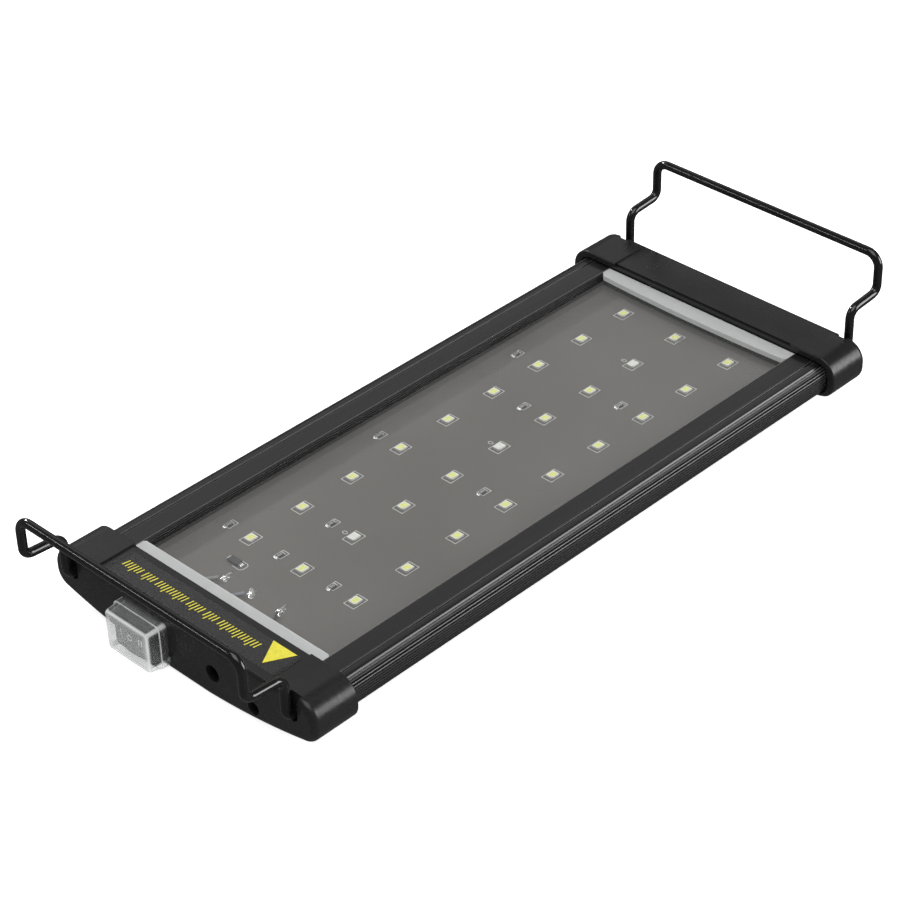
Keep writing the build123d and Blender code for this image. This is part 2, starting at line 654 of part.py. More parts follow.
def make_socket_pin():
    """The centre pin, set back behind the end wall."""
    back = -FACE_X + WALL + SOCKET_LENGTH
    foot = back - SOCKET_FLOOR
    pin = bar_x(foot - PIN_LENGTH, foot, SOCKET_Y, SOCKET_Z, PIN_R)
    pin = fillet(pin.edges().sort_by(Axis.X)[0], 0.6)
    return pin + bar_x(foot, back + 0.4, SOCKET_Y, SOCKET_Z, PIN_STEM_R)


def make_socket_tags():
    back = -FACE_X + WALL + SOCKET_LENGTH
    tags = []
    for side in (-1, 1):
        y = SOCKET_Y + side * SOCKET_TAG_Y
        tags.append(block(back - 1.0, SOCKET_TAG_END, y - 0.8, y + 0.8,
                          SOCKET_TAG_Z - 0.25, SOCKET_TAG_Z + 0.25))
    return tags


# ---- wire brackets, modelled at -X and turned about Z for the far end ----
LEG_INSIDE = 120.0           # leg length behind the cap's face
LEG_OUT = 2.3                # first upright's centre in front of the face
STEP_OUT = 14.8              # to the second upright
STEP_Z = (29.6, 30.7)
BAR_Z = 45.0
BEND_RADII = [3.5, 3.8, 3.2, 5.0]


def make_bracket():
    """One bent wire: two legs, a stepped upright on each and the bar across the end."""
    first = -FACE_X - LEG_OUT
    second = first - STEP_OUT
    start = -FACE_X + LEG_INSIDE
    side = [(start, BRACKET_Z), (first, BRACKET_Z), (first, STEP_Z[0]), (second, STEP_Z[1]),
            (second, BAR_Z)]
    points = [(x, BRACKET_Y, z) for x, z in side] + [(x, -BRACKET_Y, z) for x, z in side[::-1]]
    wire = tube_path(points, BEND_RADII + BEND_RADII[::-1], WIRE_D / 2)
    return chamfer(wire.edges().filter_by(GeomType.CIRCLE).sort_by(Axis.X)[-2:], 0.5)


# ---- caution label on the near cap ----
LABEL_X = (-127.6, -116.2)
LABEL_Y = (-39.6, 38.4)
LABEL_THICK = 0.12


def make_label():
    """A thin clear film with rounded corners on the near cap's top."""
    top = CAP_TOP - EAR_RISE
    return rounded_block(*LABEL_X, *LABEL_Y, top, top + LABEL_THICK, 1.6)


def turned(shape):
    """The same piece at the other end of the light."""
    return Rot(0, 0, 180) * shape


def build_nodes():
    """Every piece by node name; a list is a group of separate solids."""
    white = led_places(blue=False)
    blue = led_places(blue=True)
    chips = chip_places()
    pad_top = SHELF_TOP + PAD_THICK
    end, pad_y, board_y = BOARD_END, PAD_HALF, BOARD_HALF
    nodes = {
        "aluminium_housing": make_housing(),
        "near_end_cap": make_near_cap(),
        "far_end_cap": turned(make_cap()),
        "near_cap_screws": make_cap_screws(),
        "far_cap_screws": [turned(screw) for screw in make_cap_screws()],
        "cover_sheet": make_cover(),
        "near_seal": make_near_seal(),
        "far_seal": make_far_seal(),
        "thermal_pad": block(-end, end, -pad_y, pad_y, SHELF_TOP, pad_top),
        "circuit_board": rounded_block(-end, end, -board_y, board_y, pad_top, BOARD_TOP, 1.0),
        "white_led_packages": [led_package(x, y) for x, y in white],
        "white_led_phosphors": [led_fill(x, y) for x, y in white],
        "blue_led_packages": [led_package(x, y) for x, y in blue],
        "blue_led_lenses": [led_fill(x, y) for x, y in blue],
        "resistors": [chip_body(x, y) for x, y in chips],
        "resistor_ends": [end for x, y in chips for end in chip_ends(x, y)],
        "polarity_diode": make_diode(),
        "polarity_diode_leads": make_diode_leads(),
        "solder_joints": make_solder_joints(),
        "switch_body": make_switch_body(),
        "switch_rocker": make_rocker(),
        "rocker_plunger": make_plunger(),
        "plunger_spring": make_plunger_spring(),
        "contact_arm": make_contact_arm(),
        "switch_tags": make_switch_tags(),
        "switch_boot": make_boot(),
        "power_socket_body": make_socket_body(),
        "power_socket_pin": make_socket_pin(),
        "power_socket_tags": make_socket_tags(),
        "near_bracket": make_bracket(),
        "far_bracket": turned(make_bracket()),
        "caution_label": make_label(),
    }
    nodes.update(make_leads())
    return nodes


os.makedirs("parts", exist_ok=True)
for node_name, shape in build_nodes().items():
    solids = shape if isinstance(shape, list) else [shape]
    pieces = [solid for item in solids for solid in item.solids()]
    export_step(pieces[0] if len(pieces) == 1 else Compound(children=pieces), f"parts/{node_name}.step")
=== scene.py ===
"""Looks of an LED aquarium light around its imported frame: camera, studio, materials, fine pieces."""

import json
import math

import bmesh
import bpy
from mathutils import Matrix, Vector


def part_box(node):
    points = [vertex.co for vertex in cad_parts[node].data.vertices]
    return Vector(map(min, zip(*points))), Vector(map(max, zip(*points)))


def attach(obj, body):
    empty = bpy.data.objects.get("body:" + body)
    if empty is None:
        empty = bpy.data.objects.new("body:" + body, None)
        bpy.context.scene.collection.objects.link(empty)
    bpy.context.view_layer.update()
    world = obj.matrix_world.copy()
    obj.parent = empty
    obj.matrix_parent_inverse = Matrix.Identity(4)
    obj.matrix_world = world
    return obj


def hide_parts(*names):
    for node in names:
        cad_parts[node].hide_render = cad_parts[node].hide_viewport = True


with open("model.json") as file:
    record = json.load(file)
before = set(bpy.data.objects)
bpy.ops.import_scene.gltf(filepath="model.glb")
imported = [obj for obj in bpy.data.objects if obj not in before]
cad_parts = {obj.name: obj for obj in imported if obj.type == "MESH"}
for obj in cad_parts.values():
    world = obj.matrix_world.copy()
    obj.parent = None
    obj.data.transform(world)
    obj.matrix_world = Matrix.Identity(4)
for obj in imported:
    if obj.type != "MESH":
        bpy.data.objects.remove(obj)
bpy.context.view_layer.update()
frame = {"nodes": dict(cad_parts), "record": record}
nodes = frame["nodes"]

MM = 0.001

# ---- camera ----
CAMERA_TARGET = Vector((-2.34, 11.0, 12.7)) * MM
CAMERA_AZIMUTH = math.radians(-44.713)   # 0 looks along +Y, 90 along -X
CAMERA_ELEVATION = math.radians(35.071)
CAMERA_DISTANCE = 890.65 * MM
CAMERA_ROLL = math.radians(-1.80)
CAMERA_LENS = 107.16
CAMERA_REACH = 20                        # metres

# ---- places taken from the frame ----
BOARD_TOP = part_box("circuit_board")[1].z
CHIP_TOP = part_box("resistors")[1].z
LABEL_LOW, LABEL_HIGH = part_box("caution_label")
ROCKER_LOW, ROCKER_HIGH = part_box("switch_rocker")
BOOT_LOW, BOOT_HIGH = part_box("switch_boot")
SOLDER_LOW, SOLDER_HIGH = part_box("solder_joints")
DIODE_LOW, DIODE_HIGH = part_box("polarity_diode")
WHITE_LOW, WHITE_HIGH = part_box("white_led_packages")

LED_COLUMNS = 9
LED_ROWS = 3
LED_LENGTH = 3.5 * MM
LED_WIDTH = 2.8 * MM
LED_PITCH_X = (WHITE_HIGH.x - WHITE_LOW.x - LED_LENGTH) / (LED_COLUMNS - 1)
LED_PITCH_Y = (WHITE_HIGH.y - WHITE_LOW.y - LED_WIDTH) / (LED_ROWS - 1)
BLUE_ROW = 1
BLUE_COLUMNS = (1, 4, 7)
CHIP_COLUMNS = ((0, 3, 6), (0, 1, 5), (0, 3, 6))   # in each row, the LEDs with a resistor beside
ROW_TO_CHIP = 10.5 * MM


def led_place(row, column):
    """Centre of one LED on the board."""
    x = WHITE_LOW.x + LED_LENGTH / 2 + column * LED_PITCH_X
    y = WHITE_LOW.y + LED_WIDTH / 2 + row * LED_PITCH_Y
    return x, y


# ---- node helpers ----
CLOUD_DETAIL = 2.0
FINE_DETAIL = 4.0
FINER = 12               # how much finer the gloss and the relief are than the clouding
RELIEF_STRENGTH = 0.5


def new_material(name):
    """A material with its node tree, its Principled shader and its output."""
    material = bpy.data.materials.new(name)
    material.use_nodes = True
    tree = material.node_tree
    return material, tree, tree.nodes["Principled BSDF"], tree.nodes["Material Output"]


def feed(tree, value, socket):
    """Gives a socket its value: another socket to link, an (r, g, b) colour or a number."""
    if isinstance(value, bpy.types.NodeSocket):
        tree.links.new(value, socket)
    elif isinstance(value, tuple):
        socket.default_value = (*value, 1)
    else:
        socket.default_value = value


def compute(tree, operation, *values):
    """The result of a Math node on numbers or sockets."""
    node = tree.nodes.new("ShaderNodeMath")
    node.operation = operation
    for value, socket in zip(values, node.inputs):
        feed(tree, value, socket)
    return node.outputs[0]


def grain(tree, scale, detail=3.0, stretch=(1, 1, 1)):
    """A noise value over the object's own coordinates, stretched along an axis if asked."""
    place = tree.nodes.new("ShaderNodeTexCoord")
    mapping = tree.nodes.new("ShaderNodeMapping")
    mapping.inputs["Scale"].default_value = stretch
    noise = tree.nodes.new("ShaderNodeTexNoise")
    noise.inputs["Scale"].default_value = scale
    noise.inputs["Detail"].default_value = detail
    tree.links.new(place.outputs["Object"], mapping.inputs["Vector"])
    tree.links.new(mapping.outputs["Vector"], noise.inputs["Vector"])
    return noise.outputs["Fac"]


def own_axes(tree, output):
    """X, Y and Z in the object's own axes, of the point ("Object") or its facing ("Normal")."""
    place = tree.nodes.new("ShaderNodeTexCoord")
    split = tree.nodes.new("ShaderNodeSeparateXYZ")
    tree.links.new(place.outputs[output], split.inputs[0])
    return [split.outputs[name] for name in ("X", "Y", "Z")]


def spread(tree, value, low, high, start=0.3, end=0.7):
    """Maps a value that runs from start to end onto the range from low to high."""
    span = tree.nodes.new("ShaderNodeMapRange")
    span.inputs["From Min"].default_value = start
    span.inputs["From Max"].default_value = end
    span.inputs["To Min"].default_value = low
    span.inputs["To Max"].default_value = high
    tree.links.new(value, span.inputs["Value"])
    return span.outputs["Result"]


def blend_colours(tree, share, first, second, mode="MIX"):
    """Two colours blended by a share: each of the three is a socket or a plain value."""
    mix = tree.nodes.new("ShaderNodeMix")
    mix.data_type = "RGBA"
    mix.blend_type = mode
    feed(tree, first, mix.inputs["A"])
    feed(tree, second, mix.inputs["B"])
    feed(tree, share, mix.inputs["Factor"])
    return mix.outputs["Result"]


def blend_shaders(tree, share, first, second):
    """Two shaders blended by a share, which is a socket or a number."""
    mix = tree.nodes.new("ShaderNodeMixShader")
    feed(tree, share, mix.inputs["Fac"])
    tree.links.new(first, mix.inputs[1])
    tree.links.new(second, mix.inputs[2])
    return mix.outputs[0]


def plain_shader(tree, kind, **looks):
    """A shader of one kind, with some of its inputs set."""
    node = tree.nodes.new("ShaderNodeBsdf" + kind)
    for name, value in looks.items():
        feed(tree, value, node.inputs[name])
    return node.outputs[0]


def bump(tree, shader, value, depth):
    """Adds relief of that depth in metres to a shader."""
    node = tree.nodes.new("ShaderNodeBump")
    node.inputs["Strength"].default_value = RELIEF_STRENGTH
    node.inputs["Distance"].default_value = depth
    tree.links.new(value, node.inputs["Height"])
    tree.links.new(node.outputs["Normal"], shader.inputs["Normal"])


def plain_surface(name, dark, light, scale, rough, relief, metal=0.0, specular=0.5,
                  stretch=(1, 1, 1)):
    """An opaque surface with fine colour variation, uneven gloss and relief."""
    material, tree, shader, _ = new_material(name)
    cloud = grain(tree, scale, CLOUD_DETAIL, stretch)
    colour = blend_colours(tree, spread(tree, cloud, 0, 1), dark, light)
    tree.links.new(colour, shader.inputs["Base Color"])
    fine = grain(tree, scale * FINER, FINE_DETAIL, stretch)
    tree.links.new(spread(tree, fine, *rough), shader.inputs["Roughness"])
    bump(tree, shader, fine, relief)
    shader.inputs["Metallic"].default_value = metal
    shader.inputs["Specular IOR Level"].default_value = specular
    return material


# ---- anodised trough ----
RIB_REACH = 0.45 * MM    # how far away the walls of a groove or a crest are felt
CLOSENESS_SAMPLES = 8
NO_COLOUR = (0, 0, 0)
# painted shade for the grooves and a painted highlight for the crests, both placed by ambient
# occlusion
PAINTED_GROOVE_SHADE = (0.001, 0.001, 0.001)
PAINTED_CREST_HIGHLIGHT = (0.19, 0.19, 0.19)


def closeness(tree, inside):
    """0 where the surface is hemmed in within RIB_REACH, outside it or inside it, 1 where open."""
    node = tree.nodes.new("ShaderNodeAmbientOcclusion")
    node.samples = CLOSENESS_SAMPLES
    node.inside = inside
    node.only_local = True
    node.inputs["Distance"].default_value = RIB_REACH
    return node.outputs["AO"]


def anodised_black():
    """Satin anodised extrusion, with painted shade in its grooves and a painted highlight along its
    crests.
    """
    material = plain_surface("anodised_black", (0.006, 0.006, 0.0065), (0.009, 0.009, 0.009),
                             scale=30, rough=(0.22, 0.30), relief=0.00001, specular=0.45,
                             stretch=(0.05, 1, 1))
    tree = material.node_tree
    base_colour = tree.nodes["Principled BSDF"].inputs["Base Color"]
    smooth_black = base_colour.links[0].from_socket
    open_air = closeness(tree, inside=False)
    body = closeness(tree, inside=True)
    thin = spread(tree, body, 1.0, 0.0, start=0.35, end=0.85)
    proud = spread(tree, open_air, 0.0, 1.0, start=0.78, end=0.97)
    # painted highlight: paler colour on the convex, open crests
    painted_crest_highlight = blend_colours(tree, compute(tree, "MULTIPLY", thin, proud), NO_COLOUR, PAINTED_CREST_HIGHLIGHT)
    # painted shade: near black where the groove walls hem the surface in
    out_of_groove = spread(tree, open_air, 0.0, 1.0, start=0.45, end=0.9)
    base = blend_colours(tree, out_of_groove, PAINTED_GROOVE_SHADE, smooth_black)
    tree.links.new(blend_colours(tree, 1.0, base, painted_crest_highlight, mode="ADD"), base_colour)
    return material


# ---- plastics, board, metals and ink ----
def cap_plastic():
    """Moulded black plastic with a fine satin texture."""
    return plain_surface("cap_plastic", (0.010, 0.010, 0.010), (0.014, 0.0135, 0.0135),
                         scale=60, rough=(0.26, 0.34), relief=0.00002, specular=0.32)


def wire_black():
    """Gloss black dipped coating, slightly uneven."""
    return plain_surface("wire_black", (0.005, 0.005, 0.005), (0.008, 0.008, 0.008),
                         scale=90, rough=(0.10, 0.16), relief=0.00002)


def board_grey():
    """Grey coated metal-core board with faint clouding and a slight gloss."""
    return plain_surface("board_grey", (0.108, 0.101, 0.094), (0.122, 0.114, 0.106),
                         scale=12, rough=(0.42, 0.50), relief=0.000002, specular=0.25)


def solder():
    """Bright tin solder with a slightly crazed skin."""
    return plain_surface("solder", (0.72, 0.72, 0.71), (0.90, 0.90, 0.89),
                         scale=700, rough=(0.16, 0.38), relief=0.00008, metal=1.0)


def bare_metal(name, dark, light, rough):
    """Stamped or turned metal with fine scratches."""
    return plain_surface(name, dark, light, scale=250, rough=rough, relief=0.00001, metal=1.0)


def moulded(name, dark, light, rough, specular=0.5):
    """A small moulded plastic piece."""
    return plain_surface(name, dark, light, scale=400, rough=rough, relief=0.000015,
                         specular=specular)


def printing_ink(name, colour):
    """Printing ink with slight unevenness."""
    dark = tuple(0.85 * channel for channel in colour)
    return plain_surface(name, dark, colour, scale=900, rough=(0.4, 0.6), relief=0.00001)


# ---- silicones ----
def seal_grey():
    """Light grey translucent silicone, ruled with very fine lines along the strip, with a faint
    painted glow.
    """
    material, tree, shader, _ = new_material("seal_grey")
    fine = grain(tree, 900, stretch=(1, 0.3, 1))
    colour = blend_colours(tree, fine, (0.25, 0.255, 0.252), (0.33, 0.335, 0.332))
    tree.links.new(colour, shader.inputs["Base Color"])
    tree.links.new(spread(tree, fine, 0.45, 0.65), shader.inputs["Roughness"])
    shader.inputs["Subsurface Weight"].default_value = 0.7
    shader.inputs["Subsurface Radius"].default_value = (1, 1, 1)
    shader.inputs["Subsurface Scale"].default_value = 2.5 * MM
    # painted glow: the strip is no lamp, this emission only lightens it
    shader.inputs["Emission Color"].default_value = (0.9, 0.92, 0.91, 1)
    shader.inputs["Emission Strength"].default_value = 0.17
    bump(tree, shader, fine, 0.00005)
    return material


def phosphor_yellow():
    """Yellow phosphor silicone, finely clouded, with a faint painted glow."""
    material, tree, shader, _ = new_material("phosphor_yellow")
    cloud = grain(tree, 1400)
    colour = blend_colours(tree, spread(tree, cloud, 0, 1), (0.66, 0.68, 0.16), (0.80, 0.82, 0.30))
    tree.links.new(colour, shader.inputs["Base Color"])
    # painted glow: the LEDs are off, this emission only lightens the phosphor
    tree.links.new(colour, shader.inputs["Emission Color"])
    shader.inputs["Emission Strength"].default_value = 0.12
    tree.links.new(spread(tree, cloud, 0.25, 0.45), shader.inputs["Roughness"])
    bump(tree, shader, cloud, 0.00003)
    return material


# ---- clear plastics ----
RIM_POWER = 5            # how late a clear surface turns to a mirror as it turns away


def mirror_share(tree, head_on):
    """How much a surface mirrors at each angle, the same on a wall's front and back face."""
    layer = tree.nodes.new("ShaderNodeLayerWeight")
    power = compute(tree, "POWER", layer.outputs["Facing"], RIM_POWER)
    return spread(tree, power, head_on, 1.0, start=0.0, end=1.0)


def clear_skin(tree, output, tint, haze_share, haze, gloss, head_on):
    """Clear plastic that lets light through unbent, with a haze in it and a gloss over it."""
    clear = plain_shader(tree, "Transparent", Color=tint)
    hazy = blend_shaders(tree, haze_share, clear, haze)
    skin = blend_shaders(tree, mirror_share(tree, head_on), hazy, gloss)
    tree.links.new(skin, output.inputs["Surface"])


def see_through(name, tint, gloss_rough, haze, haze_colour, cloud_scale):
    """A clear sheet or film: it lets light through, mirrors by angle and holds a thin haze."""
    material, tree, shader, output = new_material(name)
    tree.nodes.remove(shader)
    fog = plain_shader(tree, "Diffuse", Color=haze_colour)
    gloss = plain_shader(tree, "Glossy", Color=(0.95, 0.95, 0.95), Roughness=gloss_rough)
    haze_share = spread(tree, grain(tree, cloud_scale), *haze)
    clear_skin(tree, output, tint, haze_share, fog, gloss, head_on=0.04)
    return material


BOOT_TINT = (0.93, 0.935, 0.935)
# colour of the milky haze, which also serves as the painted edge highlight
BOOT_MILK_AND_HIGHLIGHT = (0.92, 0.93, 0.93)
BOOT_GLOW = 0.12         # the share of the haze that is lit from behind
# white haze on the rounded edges and round the front's border is a painted highlight for the bright
# edges of thick clear vinyl; the lamps light it as a diffuse white
EDGE_PAINTED_HIGHLIGHT = 0.50
BORDER_PAINTED_HIGHLIGHT = 0.26
FRONT_HAZE = 0.14


def rounded_parts(tree):
    """1 where a surface turns from one axis to another, 0 where it faces along one axis."""
    along_x, along_y, along_z = [compute(tree, "ABSOLUTE", axis)
                                 for axis in own_axes(tree, "Normal")]
    biggest = compute(tree, "MAXIMUM", compute(tree, "MAXIMUM", along_x, along_y), along_z)
    return spread(tree, biggest, 1.0, 0.0, start=0.80, end=0.975)


def front_border(tree, facing_x):
    """1 at the border of the boot's -X face and 0 inside it, from the object's own place."""
    _, own_y, own_z = own_axes(tree, "Object")
    shares = []
    for own, low, high in ((own_y, BOOT_LOW.y, BOOT_HIGH.y), (own_z, BOOT_LOW.z, BOOT_HIGH.z)):
        offset = compute(tree, "SUBTRACT", own, (low + high) / 2)
        shares.append(compute(tree, "DIVIDE", compute(tree, "ABSOLUTE", offset), (high - low) / 2))
    border = spread(tree, compute(tree, "MAXIMUM", *shares), 0.0, 1.0, start=0.66, end=0.95)
    ahead = spread(tree, facing_x, 1.0, 0.0, start=-0.9, end=-0.5)
    return compute(tree, "MULTIPLY", border, ahead)


def boot_clear():
    """Clear soft vinyl: clear through its sides and milky on its front, with white haze painted on its
    rounded edges and round its front's border as a highlight.
    """
    material, tree, shader, output = new_material("boot_clear")
    tree.nodes.remove(shader)
    milk = plain_shader(tree, "Diffuse", Color=BOOT_MILK_AND_HIGHLIGHT)
    glow = plain_shader(tree, "Translucent", Color=BOOT_MILK_AND_HIGHLIGHT)
    haze = blend_shaders(tree, BOOT_GLOW, milk, glow)
    gloss = plain_shader(tree, "Glossy", Roughness=0.08)
    facing_x = own_axes(tree, "Normal")[0]
    front = spread(tree, facing_x, 1.0, 0.0, start=-0.95, end=-0.6)
    haze_share = spread(tree, grain(tree, 160), 0.03, 0.07)
    # the edge and border shares are painted highlight, the front share and the grain are milkiness
    for value, weight in ((rounded_parts(tree), EDGE_PAINTED_HIGHLIGHT),
                          (front_border(tree, facing_x), BORDER_PAINTED_HIGHLIGHT),
                          (front, FRONT_HAZE)):
        haze_share = compute(tree, "MULTIPLY_ADD", value, weight, haze_share)
    clear_skin(tree, output, BOOT_TINT, haze_share, haze, gloss, head_on=0.05)
    return material


# ---- every slot ----
METALS = {               # dark, light, roughness
    "screw_steel": ((0.10, 0.10, 0.10), (0.16, 0.16, 0.16), (0.3, 0.45)),
    "brass": ((0.66, 0.52, 0.27), (0.78, 0.64, 0.36), (0.2, 0.35)),
    "spring_steel": ((0.5, 0.5, 0.5), (0.62, 0.62, 0.62), (0.2, 0.35)),
}
MOULDINGS = {            # dark, light, roughness and, where it isn't the usual, specular
    "pad_grey": ((0.40, 0.43, 0.46), (0.46, 0.49, 0.52), (0.6, 0.8), 0.3),
    "led_white": ((0.78, 0.78, 0.75), (0.86, 0.86, 0.83), (0.35, 0.5)),
    "lens_clear": ((0.74, 0.73, 0.70), (0.88, 0.87, 0.84), (0.15, 0.3)),
    "chip_black": ((0.020, 0.020, 0.022), (0.035, 0.034, 0.034), (0.3, 0.5)),
    "switch_black": ((0.010, 0.010, 0.011), (0.016, 0.016, 0.016), (0.18, 0.30)),
    "lead_grey": ((0.21, 0.21, 0.20), (0.26, 0.26, 0.25), (0.35, 0.5)),
    "lead_blue": ((0.16, 0.18, 0.21), (0.20, 0.22, 0.26), (0.35, 0.5)),
    "lead_black": ((0.02, 0.02, 0.02), (0.03, 0.03, 0.03), (0.35, 0.5)),
    "lead_red": ((0.36, 0.02, 0.015), (0.45, 0.03, 0.02), (0.35, 0.5)),
}


def make_materials():
    """Every material by the record's slot name."""
    made = {
        "anodised_black": anodised_black(),
        "cap_plastic": cap_plastic(),
        "wire_black": wire_black(),
        "board_grey": board_grey(),
        "solder": solder(),
        "seal_grey": seal_grey(),
        "phosphor_yellow": phosphor_yellow(),
        "boot_clear": boot_clear(),
        "clear_cover": see_through("clear_cover", tint=(0.98, 0.985, 0.98), gloss_rough=0.02,
                                   haze=(0.008, 0.02), haze_colour=(0.8, 0.8, 0.8),
                                   cloud_scale=25),
        "label_film": see_through("label_film", tint=(0.95, 0.95, 0.95), gloss_rough=0.22,
                                  haze=(0.0, 0.004), haze_colour=(0.5, 0.5, 0.5),
                                  cloud_scale=80),
    }
    for name, look in METALS.items():
        made[name] = bare_metal(name, *look)
    for name, look in MOULDINGS.items():
        made[name] = moulded(name, *look)
    return made


def dress_frame(materials):
    """Gives every CAD node the material of its slot."""
    for part in frame["record"]["subparts"]:
        mesh = nodes[part["node"]].data
        mesh.materials.clear()
        mesh.materials.append(materials[part["material_slot"]])


# ---- mesh helpers ----
def object_from(name, mesh, material, smooth=False):
    """A new object in the scene, from a mesh that is finished."""
    data = bpy.data.meshes.new(name)
    mesh.to_mesh(data)
    mesh.free()
    data.materials.append(material)
    for face in data.polygons:
        face.use_smooth = smooth
    made = bpy.data.objects.new(name, data)
    bpy.context.scene.collection.objects.link(made)
    return made


def piece_from(name, mesh, material, body="light_body", smooth=False):
    """A new piece that rides on a body and may take its finish from a slot."""
    piece = object_from(name, mesh, material, smooth)
    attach(piece, body)
    return piece


def as_given(x, y, z):
    """A point where its own coordinates put it."""
    return x, y, z


def add_prism(mesh, outline, low, high, place=as_given):
    """A closed prism over an outline of (x, y) points."""
    bottom = [mesh.verts.new(place(x, y, low)) for x, y in outline]
    top = [mesh.verts.new(place(x, y, high)) for x, y in outline]
    mesh.faces.new(bottom[::-1])
    mesh.faces.new(top)
    count = len(outline)
    for i in range(count):
        j = (i + 1) % count
        mesh.faces.new((bottom[i], bottom[j], top[j], top[i]))


def add_ring(mesh, outer, inner, low, high, place=as_given):
    """A closed flat ring between two outlines with the same number of points."""
    count = len(outer)
    rows = []
    for outline, z in ((outer, low), (outer, high), (inner, high), (inner, low)):
        rows.append([mesh.verts.new(place(x, y, z)) for x, y in outline])
    for i in range(count):
        j = (i + 1) % count
        for first, second in zip(rows, rows[1:] + rows[:1]):
            mesh.faces.new((first[i], first[j], second[j], second[i]))


def oval(x, y, half_x, half_y, count=24):
    """Points round an ellipse."""
    angles = [2 * math.pi * i / count for i in range(count)]
    return [(x + half_x * math.cos(a), y + half_y * math.sin(a)) for a in angles]


def rectangle(x, y, half_x, half_y):
    """The corners of a rectangle."""
    return [(x - half_x, y - half_y), (x + half_x, y - half_y),
            (x + half_x, y + half_y), (x - half_x, y + half_y)]


# ---- printing on the board ----
INK = 0.03 * MM                          # thickness
LINE = 0.22 * MM                         # width
LED_FRAME = (3.15 * MM, 2.3 * MM)        # half sizes along X and Y, as for the next three
BLUE_RING = (0.75 * MM, 1.05 * MM)
CHIP_FRAME = (2.05 * MM, 1.5 * MM)
RATING_TICK = (0.09 * MM, 0.45 * MM)
LED_TO_RING = 4.1 * MM
CHIP_TO_FRAME = 0.9 * MM
RATING_TICKS = 4
RATING_PITCH = 0.45 * MM
DIODE_FRAME_HALF = 1.9 * MM
DIODE_FRAME_OVERLAP = 1.5 * MM           # how far the frame runs up beside the diode
DIODE_FRAME_REACH = 2.6 * MM             # how far it runs past the diode's end
DIODE_FRAME_CORNER = 0.8 * MM


def print_outline(mesh, shape, x, y, half_x, half_y):
    """A printed line on the board, round an oval or a rectangle."""
    add_ring(mesh, shape(x, y, half_x, half_y), shape(x, y, half_x - LINE, half_y - LINE),
             BOARD_TOP, BOARD_TOP + INK)


def make_led_outlines(material):
    """A printed frame round every LED, and a small ring beside each blue one."""
    mesh = bmesh.new()
    for row in range(LED_ROWS):
        for column in range(LED_COLUMNS):
            x, y = led_place(row, column)
            print_outline(mesh, rectangle, x, y, *LED_FRAME)
            if row == BLUE_ROW and column in BLUE_COLUMNS:
                print_outline(mesh, oval, x, y + LED_TO_RING, *BLUE_RING)
    piece_from("board_led_outlines", mesh, material)


def make_chip_outlines(material):
    """A printed frame by every resistor, with a short row of ticks on its body."""
    mesh = bmesh.new()
    for row, columns in enumerate(CHIP_COLUMNS):
        for column in columns:
            x, y = led_place(row, column)
            y += ROW_TO_CHIP
            print_outline(mesh, rectangle, x + CHIP_TO_FRAME, y, *CHIP_FRAME)
            for index in range(RATING_TICKS):
                tick_x = x + (index - (RATING_TICKS - 1) / 2) * RATING_PITCH
                add_prism(mesh, rectangle(tick_x, y, *RATING_TICK), CHIP_TOP, CHIP_TOP + INK)
    piece_from("board_resistor_outlines", mesh, material)


def make_diode_outline(material):
    """The printed frame round one end of the polarity diode, with its corners cut."""
    mesh = bmesh.new()
    middle_x = (DIODE_LOW.x + DIODE_HIGH.x) / 2
    left, right = middle_x - DIODE_FRAME_HALF, middle_x + DIODE_FRAME_HALF
    start_y, end_y = DIODE_LOW.y + DIODE_FRAME_OVERLAP, DIODE_LOW.y - DIODE_FRAME_REACH
    cut = DIODE_FRAME_CORNER
    route = [(left, start_y), (left, end_y + cut), (left + cut, end_y),
             (right - cut, end_y), (right, end_y + cut), (right, start_y)]
    for (x0, y0), (x1, y1) in zip(route, route[1:]):
        side = Vector((y0 - y1, x1 - x0)).normalized() * (LINE / 2)
        a, b = Vector((x0, y0)), Vector((x1, y1))
        corners = [a - side, b - side, b + side, a + side]
        add_prism(mesh, [(v.x, v.y) for v in corners], BOARD_TOP, BOARD_TOP + INK)
    piece_from("board_diode_outline", mesh, material)


# ---- solder on the wire pads ----
SPOKES = 40
RINGS = 7
BEAD_HALF_X = 2.4 * MM
BEAD_HALF_Y = 1.9 * MM
BEAD_HEIGHT = 0.55 * MM
BEAD_FALL = 1.6          # how late the dome falls to the board on the way out
PINCH = 0.35             # how far the rim draws in between the points
RAGGEDNESS = 0.10        # of the rim
RIPPLE = 0.16            # of the dome
BEADS = (                # place along Y, number of points, how far they run out, turn in radians
    (SOLDER_HIGH.y - 1.7 * MM, 3, 0.7, 0.2),
    (SOLDER_HIGH.y - 13.7 * MM, 4, 0.8, 0.9),
    (SOLDER_LOW.y + 1.7 * MM, 7, 1.0, 0.4),
)


